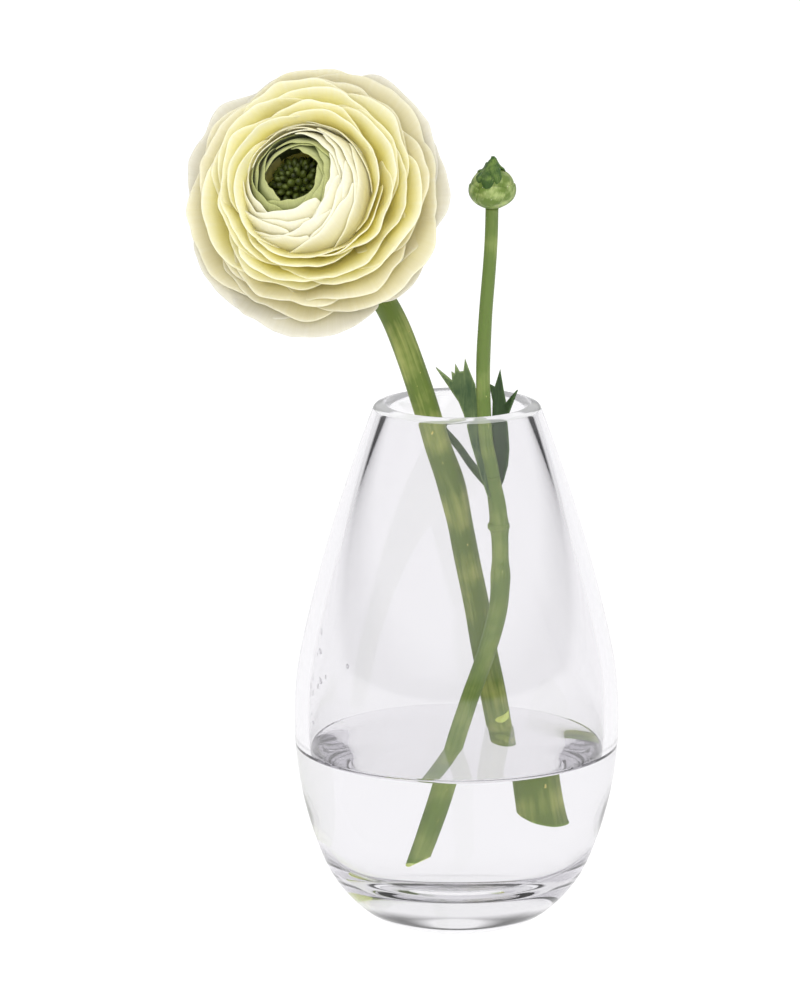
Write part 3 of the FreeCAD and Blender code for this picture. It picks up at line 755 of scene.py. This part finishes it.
def core_frame():
    """The leaning frame of the closed heart: its middle, right, up and facing vectors."""
    lean_axis = -math.sin(CORE_LEAN_TOWARDS) * BLOOM_RIGHT + math.cos(CORE_LEAN_TOWARDS) * BLOOM_UP
    turn = Matrix.Rotation(CORE_LEAN, 3, lean_axis)
    middle = BLOOM_BASE + BLOOM_AXIS * CORE_HEIGHT
    middle += BLOOM_RIGHT * CORE_SHIFT[0] + BLOOM_UP * CORE_SHIFT[1]
    return middle, turn @ BLOOM_RIGHT, turn @ BLOOM_UP, turn @ BLOOM_AXIS


def bezier(p0, p1, p2, p3, t):
    """A point (radius, height) of a cubic Bezier curve."""
    a, b, c, d = (1 - t) ** 3, 3 * t * (1 - t) ** 2, 3 * t * t * (1 - t), t ** 3
    return (
        a * p0[0] + b * p1[0] + c * p2[0] + d * p3[0],
        a * p0[1] + b * p1[1] + c * p2[1] + d * p3[1],
    )


def ease(low, high, value):
    """0 below low, 1 above high, and a smooth step between."""
    share = max(0.0, min(1.0, (value - low) / (high - low)))
    return share * share * (3 - 2 * share)


def cup_petal(profile, middle, half, spiral, corner, ruffle, seed, tip=2.6):
    """A cupped petal. profile is four (radius, height) Bezier points from claw to rim.

    middle and half are its angle and half its width; spiral slides one side out and the other in;
    corner lowers the rim at the sides and a small tip makes that a point; ruffle waves it.
    """
    rows, uvs = [], []
    offset = Vector((seed * 7.31, seed * 3.17, seed * 1.93))
    for a in range(ALONG + 1):
        row, row_uv = [], []
        for c in range(ACROSS + 1):
            s = 2 * c / ACROSS - 1
            reach = 1 - corner * abs(s) ** tip + 0.03 * noise.noise(offset + Vector((s * 3.2, 0, 9)))
            t = reach * a / ALONG
            radius, height = bezier(*profile, t)
            width = half * (0.45 + 0.55 * ease(0.0, 0.6, t))
            angle = middle + s * width
            swell = ease(0.25, 1.0, t)
            wave = noise.noise(offset + Vector((s * 2.4, t * 1.6, 0))) * ruffle * swell
            fine = noise.noise(offset + Vector((s * 7.0, t * 2.0, 4))) * ruffle * 0.3 * ease(0.7, 1.0, t)
            radius += spiral * s * swell + wave + fine
            height += noise.noise(offset + Vector((s * 2.0, t, 5))) * ruffle * 0.6 * swell
            row.append(bloom_point(radius, angle, height))
            row_uv.append((c / ACROSS, t / reach if reach else 0))
        rows.append(row)
        uvs.append(row_uv)
    return rows, uvs


def ball_petal(ball, rim, middle, half, spiral, slant, corner, ruffle, seed):
    """A petal that closes over the heart. ball is its radius and rim the angle at which it ends.

    slant takes the rim nearer to the eye on one side; the rest is as for cup_petal.
    """
    core, right, up, facing = core_frame()
    rows, uvs = [], []
    offset = Vector((seed * 5.77, seed * 2.39, seed * 4.41))
    for a in range(ALONG + 1):
        row, row_uv = [], []
        for c in range(ACROSS + 1):
            s = 2 * c / ACROSS - 1
            end = rim - slant * s + corner * abs(s) ** 2.4
            end += 0.06 * noise.noise(offset + Vector((s * 3.4, 0, 9)))
            share = a / ALONG
            polar = math.radians(150) + (end - math.radians(150)) * share
            width = half * (0.5 + 0.5 * ease(0.0, 0.55, share))
            angle = middle + s * width
            wave = noise.noise(offset + Vector((s * 2.2, share * 2.0, 0))) * ruffle * ease(0.3, 1, share)
            size = ball - spiral * s + wave + 0.5 * ease(0.82, 1.0, share)
            arm = size * math.sin(polar)
            row.append(
                core + right * (arm * math.cos(angle)) + up * (arm * math.sin(angle))
                + facing * (size * math.cos(polar))
            )
            row_uv.append((c / ACROSS, share))
        rows.append(row)
        uvs.append(row_uv)
    return rows, uvs


# Each kind of petal: its display colours near the rim, halfway, deep down and at the very edge, the share of
# light that comes through it, and how far out from the claw the deep and the halfway colours lie. The deep
# colour is partly the petals' own deeper yellow and green and partly painted shade for the crevices between
# whorls and in the eye; on the cream and white petals the paler edge colour is a painted highlight along the
# rims.
PETAL_LOOKS = {
    "petal_guard": ((231, 228, 216), (230, 226, 202), (224, 215, 158), (239, 237, 228), 0.36, (0.3, 0.75)),
    "petal_outer": ((243, 239, 216), (241, 236, 196), (236, 228, 142), (248, 246, 232), 0.48, (0.3, 0.75)),
    "petal_middle": ((251, 249, 226), (249, 245, 188), (236, 229, 118), (254, 253, 242), 0.55, (0.4, 0.78)),
    "petal_heart": ((249, 246, 224), (246, 241, 204), (226, 220, 128), (252, 251, 236), 0.28, (0.3, 0.7)),
    "petal_eye": ((214, 218, 160), (170, 180, 104), (70, 84, 26), (206, 210, 146), 0.3, (0.55, 0.82)),
}


def petal_material(name):
    """Thin satin petal with fine veins and light through it."""
    *colours, glow, reach = PETAL_LOOKS[name]
    rim, body, deep_and_shade, edge = [rgb(*colour) for colour in colours]
    material, shader, nodes, links = principled(name)
    uv = nodes.new("ShaderNodeUVMap").outputs[0]
    split = nodes.new("ShaderNodeSeparateXYZ")
    links.new(uv, split.inputs[0])
    soft = noise_node(nodes, links, uv, 1.0, 3.0, (3.0, 2.2, 1.0))
    shift = nodes.new("ShaderNodeMath")
    shift.operation = "MULTIPLY_ADD"
    shift.inputs[1].default_value = 0.16
    links.new(soft.outputs[0], shift.inputs[0])
    links.new(split.outputs["Y"], shift.inputs[2])
    # painted shade in the deep colour at the claw and a painted highlight in the edge colour, over the
    # petals' own colours
    ramp = ramp_node(nodes, ((reach[0], deep_and_shade), (reach[1], body), (0.94, rim), (1.0, edge)))
    level = spread(nodes, links, shift.outputs[0], 0.08, 1.08)
    links.new(level, ramp.inputs[0])
    veins = noise_node(nodes, links, uv, 1.0, 4.0, (46.0, 1.1, 1.0))
    vein = spread(nodes, links, veins.outputs[0], 0.35, 0.7, 0.0, 0.22)
    colour = mix_colour(nodes, links, vein, ramp.outputs[0], body, "MULTIPLY")
    links.new(colour, shader.inputs["Base Color"])
    shader.inputs["Roughness"].default_value = 0.55
    shader.inputs["Specular IOR Level"].default_value = 0.25
    shader.inputs["Sheen Weight"].default_value = 0.15
    add_bump(nodes, links, shader, veins.outputs[0], 0.18, 0.0003)
    thin = nodes.new("ShaderNodeBsdfTranslucent")
    links.new(colour, thin.inputs["Color"])
    mix = nodes.new("ShaderNodeMixShader")
    mix.inputs[0].default_value = glow
    links.new(shader.outputs[0], mix.inputs[1])
    links.new(thin.outputs[0], mix.inputs[2])
    links.new(mix.outputs[0], nodes["Material Output"].inputs[0])
    return material


# each open whorl, outermost first: rim radius, rim height, claw height, flare in degrees, petals
OPEN_WHORLS = (
    (33.2, 9.5, 0.4, 78, 7),
    (31.0, 12.8, 2.0, 67, 7),
    (28.6, 16.6, 3.6, 57, 7),
    (26.4, 19.8, 5.2, 48, 7),
    (23.8, 22.4, 6.8, 38, 7),
    (21.2, 24.4, 8.4, 28, 6),
    (18.8, 26.0, 10.0, 16, 6),
)
# how far each rim's edge runs straight along its flare
WALL_RUN = 9.0
# each ring of the closed heart, two to a whorl: ball radius, rim angle and slant in degrees, petals
CLOSED_RINGS = (
    (16.2, 70, 12, 6),
    (15.7, 62, 12, 6),
    (15.0, 55, 11, 6),
    (14.2, 47, 11, 5),
    (12.8, 41, 9, 5),
    (11.6, 33, 8, 5),
)


def make_bloom():
    """Seven open whorls of cupped petals, then three that close over the heart."""
    kinds = ("petal_guard", "petal_outer", "petal_middle", "petal_heart", "petal_eye")
    white, pale, warm, cream, green = [petal_material(kind) for kind in kinds]
    for index, whorl in enumerate(OPEN_WHORLS):
        material = (white, pale, pale, warm)[min(index, 3)]
        add_whorl(f"bloom_whorl_{index + 1}", open_whorl(index, *whorl), material, f"petals_{index + 1}")
    for pair in range(len(CLOSED_RINGS) // 2):
        grids = []
        for ring in (2 * pair, 2 * pair + 1):
            grids += heart_ring(ring, *CLOSED_RINGS[ring])
        whorl = len(OPEN_WHORLS) + pair + 1
        add_whorl(f"bloom_whorl_{whorl}", grids, cream if pair < 2 else green, f"petals_{whorl}")


def open_whorl(index, radius, height, claw, flare, count):
    """The petals of one open whorl, each a little different, looser towards the outside."""
    draw = random.Random(100 + index)
    loose = 1.0 - index / len(OPEN_WHORLS)
    grids = []
    for number in range(count):
        rim_radius = radius + draw.uniform(-1.6, 1.0) * (0.5 + loose)
        rim_height = height + draw.uniform(-1.2, 1.2)
        lean = math.radians(flare + draw.uniform(-8, 8))
        profile = (
            (4.4, claw),
            (radius * 0.62, claw - 0.4),
            (rim_radius - WALL_RUN * math.sin(lean), rim_height - WALL_RUN * math.cos(lean)),
            (rim_radius, rim_height),
        )
        middle = 2 * math.pi * (number + 0.5 * (index % 2)) / count + draw.uniform(-0.2, 0.2) + index * 0.4
        half = math.pi / count * draw.uniform(1.6, 1.9)
        ruffle = 1.0 + 0.8 * loose
        spiral = 0.5 + 0.9 * loose
        grids.append(cup_petal(profile, middle, half, spiral, 0.2, ruffle, index * 10 + number))
    return grids


def heart_ring(ring, ball, rim, slant, count):
    """One ring of petals that close over the heart, each tucked under the next."""
    draw = random.Random(200 + ring)
    grids = []
    for number in range(count):
        middle = 2 * math.pi * (number + 0.5 * (ring % 2)) / count + draw.uniform(-0.2, 0.2)
        half = math.pi / count * draw.uniform(1.6, 1.9)
        end = math.radians(rim + draw.uniform(-3, 3))
        seed = 50 + ring * 10 + number
        grids.append(ball_petal(ball, end, middle, half, 0.5, math.radians(slant), 0.2, 0.5, seed))
    return grids


def add_whorl(name, grids, material, node):
    mesh = bpy.data.meshes.new(name)
    add_grids(mesh, grids)
    mesh.materials.append(material)
    whorl = new_object(name, mesh)
    thicken(whorl, PETAL_THICKNESS, 1)
    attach(whorl, "flower")
    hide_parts(node)


CARPEL_COUNT = 70
CARPEL_DOME = 5.6
CARPEL_SIZE = 0.9
CARPEL_SHIFT = (-1.4, 1.0, 0.2)
GOLDEN_ANGLE = 2.39996


def carpel_mesh():
    """Small egg shapes packed in a spiral over a dome, in the heart's own frame."""
    core, right, up, facing = core_frame()
    low = core + right * CARPEL_SHIFT[0] + up * CARPEL_SHIFT[1] + facing * CARPEL_SHIFT[2]
    shape = bmesh.new()
    for number in range(CARPEL_COUNT):
        polar = math.acos(1 - (number + 0.5) / CARPEL_COUNT)
        angle = number * GOLDEN_ANGLE
        arm = right * math.cos(angle) + up * math.sin(angle)
        outward = arm * math.sin(polar) + facing * math.cos(polar)
        size = CARPEL_SIZE + 0.45 * noise.noise(Vector((number * 1.7, 0, 0)))
        spot = low + outward * (CARPEL_DOME + 0.4 * noise.noise(Vector((0, number * 2.3, 0))))
        place = Matrix.Translation(spot * MM) @ outward.to_track_quat("Z", "Y").to_matrix().to_4x4()
        place = place @ Matrix.Diagonal((size * MM, size * MM, size * 2.0 * MM, 1))
        bmesh.ops.create_icosphere(shape, subdivisions=2, radius=1.0, matrix=place)
    for face in shape.faces:
        face.smooth = True
    mesh = bpy.data.meshes.new("carpels")
    shape.to_mesh(mesh)
    shape.free()
    return mesh


def make_carpels():
    """The dark green carpels in the middle of the bloom."""
    material, shader, nodes, links = principled("carpel")
    spots = noise_node(nodes, links, nodes.new("ShaderNodeTexCoord").outputs["Object"], 700.0, 3.0)
    ramp = ramp_node(nodes, ((0.35, rgb(30, 36, 8)), (0.7, rgb(92, 104, 38))))
    links.new(spots.outputs[0], ramp.inputs[0])
    links.new(ramp.outputs[0], shader.inputs["Base Color"])
    shader.inputs["Roughness"].default_value = 0.45
    mesh = carpel_mesh()
    mesh.materials.append(material)
    carpels = new_object("carpels", mesh)
    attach(carpels, "flower")
    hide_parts("carpel_head")


SEPAL_COUNT = 5
SEPAL_PROFILE = ((2.6, -0.9), (8.0, -1.9), (13.0, -1.6), (18.5, 0.1))


def make_sepals():
    """Pointed green sepals, spread flat under the bloom."""
    light, dark, fleck = rgb(158, 172, 104), rgb(104, 126, 58), rgb(196, 200, 150)
    green = stem_material("sepal_green", light, dark, fleck, 0.5, 260.0)
    grids = []
    for number in range(SEPAL_COUNT):
        middle = 2 * math.pi * number / SEPAL_COUNT + 0.3
        grids.append(cup_petal(SEPAL_PROFILE, middle, 0.56, 0.15, 0.72, 0.5, 80 + number, 1.5))
    mesh = bpy.data.meshes.new("flower_sepals")
    add_grids(mesh, grids)
    mesh.materials.append(green)
    sepals = new_object("flower_sepals", mesh)
    thicken(sepals, 0.45, 1)
    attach(sepals, "flower")
    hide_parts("sepals")


# ---------------------------------------------------------------- leaves and bud
def leaf_material(name, edge, middle, dark):
    """Leaf green in soft patches, with fine lengthwise streaks and a paler rim."""
    material, shader, nodes, links = principled(name)
    uv = nodes.new("ShaderNodeUVMap").outputs[0]
    place = nodes.new("ShaderNodeTexCoord").outputs["Object"]
    patches = noise_node(nodes, links, place, 260.0, 4.0)
    streaks = noise_node(nodes, links, place, 1.0, 4.0, (1400.0, 1400.0, 90.0))
    share = spread(nodes, links, patches.outputs[0], 0.35, 0.65)
    colour = mix_colour(nodes, links, share, dark, middle)
    line = spread(nodes, links, streaks.outputs[0], 0.5, 0.75, 0.0, 0.5)
    colour = mix_colour(nodes, links, line, colour, edge)
    split = nodes.new("ShaderNodeSeparateXYZ")
    links.new(uv, split.inputs[0])
    rim = spread(nodes, links, split.outputs["X"], 0.0, 0.25, 1.0, 0.0)
    colour = mix_colour(nodes, links, rim, colour, edge)
    links.new(colour, shader.inputs["Base Color"])
    shader.inputs["Roughness"].default_value = 0.5
    add_bump(nodes, links, shader, streaks.outputs[0], 0.3, 0.0003)
    return material


LEFT_LEAF = (
    (7.6, 107.5), (5.9, 112.4), (4.7, 116.7), (3.4, 121.0), (2.4, 125.3), (1.6, 128.5), (0.4, 131.5),
    (-1.6, 134.6), (-3.4, 137.3), (-5.2, 140.0), (-2.6, 138.0), (-1.2, 136.8), (-1.4, 139.2), (-0.6, 138.6),
    (-0.5, 141.2), (0.6, 139.2), (1.5, 139.3), (1.9, 142.6), (3.0, 139.5), (4.4, 136.0), (5.2, 131.0),
    (6.1, 125.0), (7.2, 118.0), (8.6, 112.0), (9.4, 107.5),
)
RIGHT_LEAF = (
    (9.0, 109.5), (8.8, 114.0), (8.7, 120.0), (8.7, 126.0), (8.8, 131.0), (8.0, 135.4), (9.3, 134.6),
    (10.6, 139.0), (11.4, 134.0), (12.0, 130.6), (14.8, 134.2), (13.4, 130.0), (12.4, 127.0), (12.7, 123.0),
    (12.9, 119.0), (12.6, 115.0), (11.6, 111.0), (10.4, 108.0),
)


LOBE_ROUTE = (
    (8.0, 3.0, 110.0), (3.9, 9.4, 113.4), (0.2, 15.7, 117.2), (-4.4, 16.2, 122.1), (-8.2, 13.6, 126.3),
)
LOBE_RADII = ((109, 1.2), (116, 1.0), (122, 0.9), (126.5, 0.35))


def make_leaf(name, outline, depth, material, node):
    """A toothed blade cut from its outline in (x, z), curved by depth(x, z), which gives y."""
    mesh = bpy.data.meshes.new(name)
    shape = bmesh.new()
    corners = [shape.verts.new((x * MM, 0, z * MM)) for x, z in outline]
    shape.faces.new(corners)
    low, high = min(z for _, z in outline), max(z for _, z in outline)
    left, right = min(x for x, _ in outline), max(x for x, _ in outline)
    cuts = [((0, 0, z * MM), (0, 0, 1)) for z in np.arange(low + 0.8, high, 0.8)]
    cuts += [((x * MM, 0, 0), (1, 0, 0)) for x in np.arange(left + 0.6, right, 0.6)]
    for point, normal in cuts:
        everything = shape.verts[:] + shape.edges[:] + shape.faces[:]
        bmesh.ops.bisect_plane(shape, geom=everything, dist=1e-7, plane_co=point, plane_no=normal)
    layer = shape.loops.layers.uv.new("UVMap")
    rim = [v.co.copy() for v in shape.verts if v.is_boundary]
    for face in shape.faces:
        face.smooth = True
        for loop in face.loops:
            near = min((loop.vert.co - r).length for r in rim)
            loop[layer].uv = (min(near / (1.6 * MM), 1.0), 0.5)
    for vert in shape.verts:
        vert.co.y = depth(vert.co.x / MM, vert.co.z / MM) * MM
    shape.to_mesh(mesh)
    shape.free()
    mesh.materials.append(material)
    leaf = new_object(name, mesh)
    thicken(leaf, 0.55)
    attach(leaf, "bud_shoot")
    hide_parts(node)


def left_leaf_depth(x, z):
    """The left leaf's sides bend back, less towards its foot, and its tips lean forward."""
    middle = blend_values(((107, 8.5), (112, 7.3), (121, 5.0), (130, 3.0), (142, 1.5)), z)
    return -0.6 + 0.03 * (x - middle) ** 2 * ease(110, 122, z) - 0.6 * ease(132, 142, z)


def right_leaf_depth(x, z):
    """The right leaf's sides bend forward and its tips lean back."""
    return 3.0 - 0.12 * (x - 10.6) ** 2 + 0.5 * ease(128, 139, z)


def make_leaves():
    blade = leaf_material("leaf_left_green", rgb(114, 132, 80), rgb(72, 92, 50), rgb(42, 68, 31))
    # painted shade: the right leaf gets far darker greens than the left one, standing in for the shade it
    # lies in
    dark = leaf_material("leaf_right_shaded_green", rgb(58, 84, 37), rgb(39, 62, 23), rgb(27, 47, 16))
    make_leaf("leaf_left_blade", LEFT_LEAF, left_leaf_depth, blade, "leaf_left")
    make_leaf("leaf_right_blade", RIGHT_LEAF, right_leaf_depth, dark, "leaf_right")
    lobe = make_stem("leaf_lobe_blade", LOBE_ROUTE, LOBE_RADII, 0.0, [blade, blade])
    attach(lobe, "bud_shoot")
    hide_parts("leaf_back_lobe")


BUD_FOOT = Vector((8.4, 0.0, 179.7))


def bud_sheet(profile, middle, half, spiral, seed):
    """One wrapped petal or sepal of the bud, from a Bezier profile of (radius, height)."""
    rows, uvs = [], []
    offset = Vector((seed * 2.7, seed * 5.1, 0))
    for a in range(ALONG + 1):
        row, row_uv = [], []
        for c in range(ACROSS + 1):
            s = 2 * c / ACROSS - 1
            reach = 1 - 0.12 * abs(s) ** 2.2
            t = reach * a / ALONG
            radius, height = bezier(*profile, t)
            radius += spiral * s * ease(0.1, 0.5, t) + 0.12 * noise.noise(offset + Vector((s * 2, t * 2, 0)))
            angle = middle + s * half + 0.5 * t
            row.append(BUD_FOOT + Vector((radius * math.cos(angle), radius * math.sin(angle), height)))
            row_uv.append((c / ACROSS, t * 12))
        rows.append(row)
        uvs.append(row_uv)
    return rows, uvs


def bud_piece(name, sheets, thickness, material, node):
    """One piece of the bud, made of sheets. node is the CAD node that it replaces, if any."""
    mesh = bpy.data.meshes.new(name)
    add_grids(mesh, sheets)
    mesh.materials.append(material)
    piece = new_object(name, mesh)
    thicken(piece, thickness, 1)
    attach(piece, "bud_shoot")
    if node:
        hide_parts(node)


def tuft_leaf(angle, foot, top, wide, seed):
    """A narrow sepal tip that lies on the bud and stands up to a blunt point.

    foot and top are (radius, height).
    """
    outward = Vector((math.cos(angle), math.sin(angle), 0))
    across = Vector((-outward.y, outward.x, 0))
    profile = (foot, (foot[0], foot[1] + 2.4), ((foot[0] + top[0]) / 2, top[1] - 3.6), top)
    rows, uvs = [], []
    for a in range(ALONG + 1):
        t = a / ALONG
        radius, height = bezier(*profile, t)
        half = wide / 2 * (0.65 + 0.35 * ease(0.0, 0.3, t)) * math.sqrt(1.02 - t ** 4)
        row, row_uv = [], []
        for c in range(17):
            s = c / 8 - 1
            fold = 0.5 * abs(s) ** 1.5 + 0.25 * noise.noise(Vector((s * 2.0, t * 2.0, seed)))
            row.append(BUD_FOOT + outward * (radius - fold) + across * (s * half) + Vector((0, 0, height)))
            row_uv.append((c / 16, t * 8))
        rows.append(row)
        uvs.append(row_uv)
    return rows, uvs


# angle in degrees, foot (radius, height), top (radius, height), width
TUFT = (
    (-104, (5.6, 5.6), (1.2, 12.0), 3.2),
    (-76, (5.0, 6.6), (1.1, 12.9), 2.6),
    (-132, (5.0, 6.8), (1.2, 11.6), 2.5),
    (20, (3.4, 8.0), (0.8, 12.4), 3.0),
    (95, (3.8, 7.8), (0.7, 12.0), 3.2),
    (165, (3.6, 8.0), (1.4, 11.2), 2.8),
)


def make_bud():
    """A closed bud: petals wrapped in a ball, a cup of sepals under it, and a tuft of sepal tips on top."""
    skin = stem_material("bud_skin", rgb(162, 176, 112), rgb(98, 120, 50), rgb(196, 202, 164), 0.2, 420.0)
    light, dark, fleck = rgb(104, 128, 58), rgb(52, 80, 28), rgb(150, 165, 100)
    tips = stem_material("bud_tuft_green", light, dark, fleck, 0.4, 500.0)
    ball = ((1.5, 0.4), (6.2, 2.2), (6.7, 8.8), (0.35, 9.7))
    cup = ((1.65, 0.1), (5.4, 1.5), (6.2, 3.8), (5.3, 6.2))
    wrap = [bud_sheet(ball, 2 * math.pi * n / 5, 1.1, 0.22, 5 + n) for n in range(5)]
    bud_piece("bud_petals", wrap, 0.3, skin, "bud_core")
    wrap = [bud_sheet(cup, 2 * math.pi * n / 5 + 0.5, 0.66, 0.15, 25 + n) for n in range(5)]
    bud_piece("bud_sepal_cup", wrap, 0.35, skin, "bud_sepals")
    wrap = [tuft_leaf(math.radians(leaf[0]), *leaf[1:], 45 + n) for n, leaf in enumerate(TUFT)]
    bud_piece("bud_tuft", wrap, 0.35, tips, None)
    return skin


# ---------------------------------------------------------------- everything
def set_light_paths():
    cycles = bpy.context.scene.cycles
    cycles.max_bounces = 24
    cycles.transmission_bounces = 24
    cycles.glossy_bounces = 12
    cycles.diffuse_bounces = 6
    cycles.transparent_max_bounces = 32
    cycles.caustics_reflective = False
    cycles.caustics_refractive = False
    bpy.context.scene.view_settings.view_transform = "Standard"


def main():
    make_camera()
    make_world()
    make_floor()
    for lamp in LAMPS:
        make_lamp(*lamp)
    make_vase()
    make_drops()
    make_stems()
    make_bloom()
    make_carpels()
    skin = make_bud()
    make_sepals()
    make_leaves()
    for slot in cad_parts["receptacle"].material_slots:
        slot.material = skin
    set_light_paths()


main()
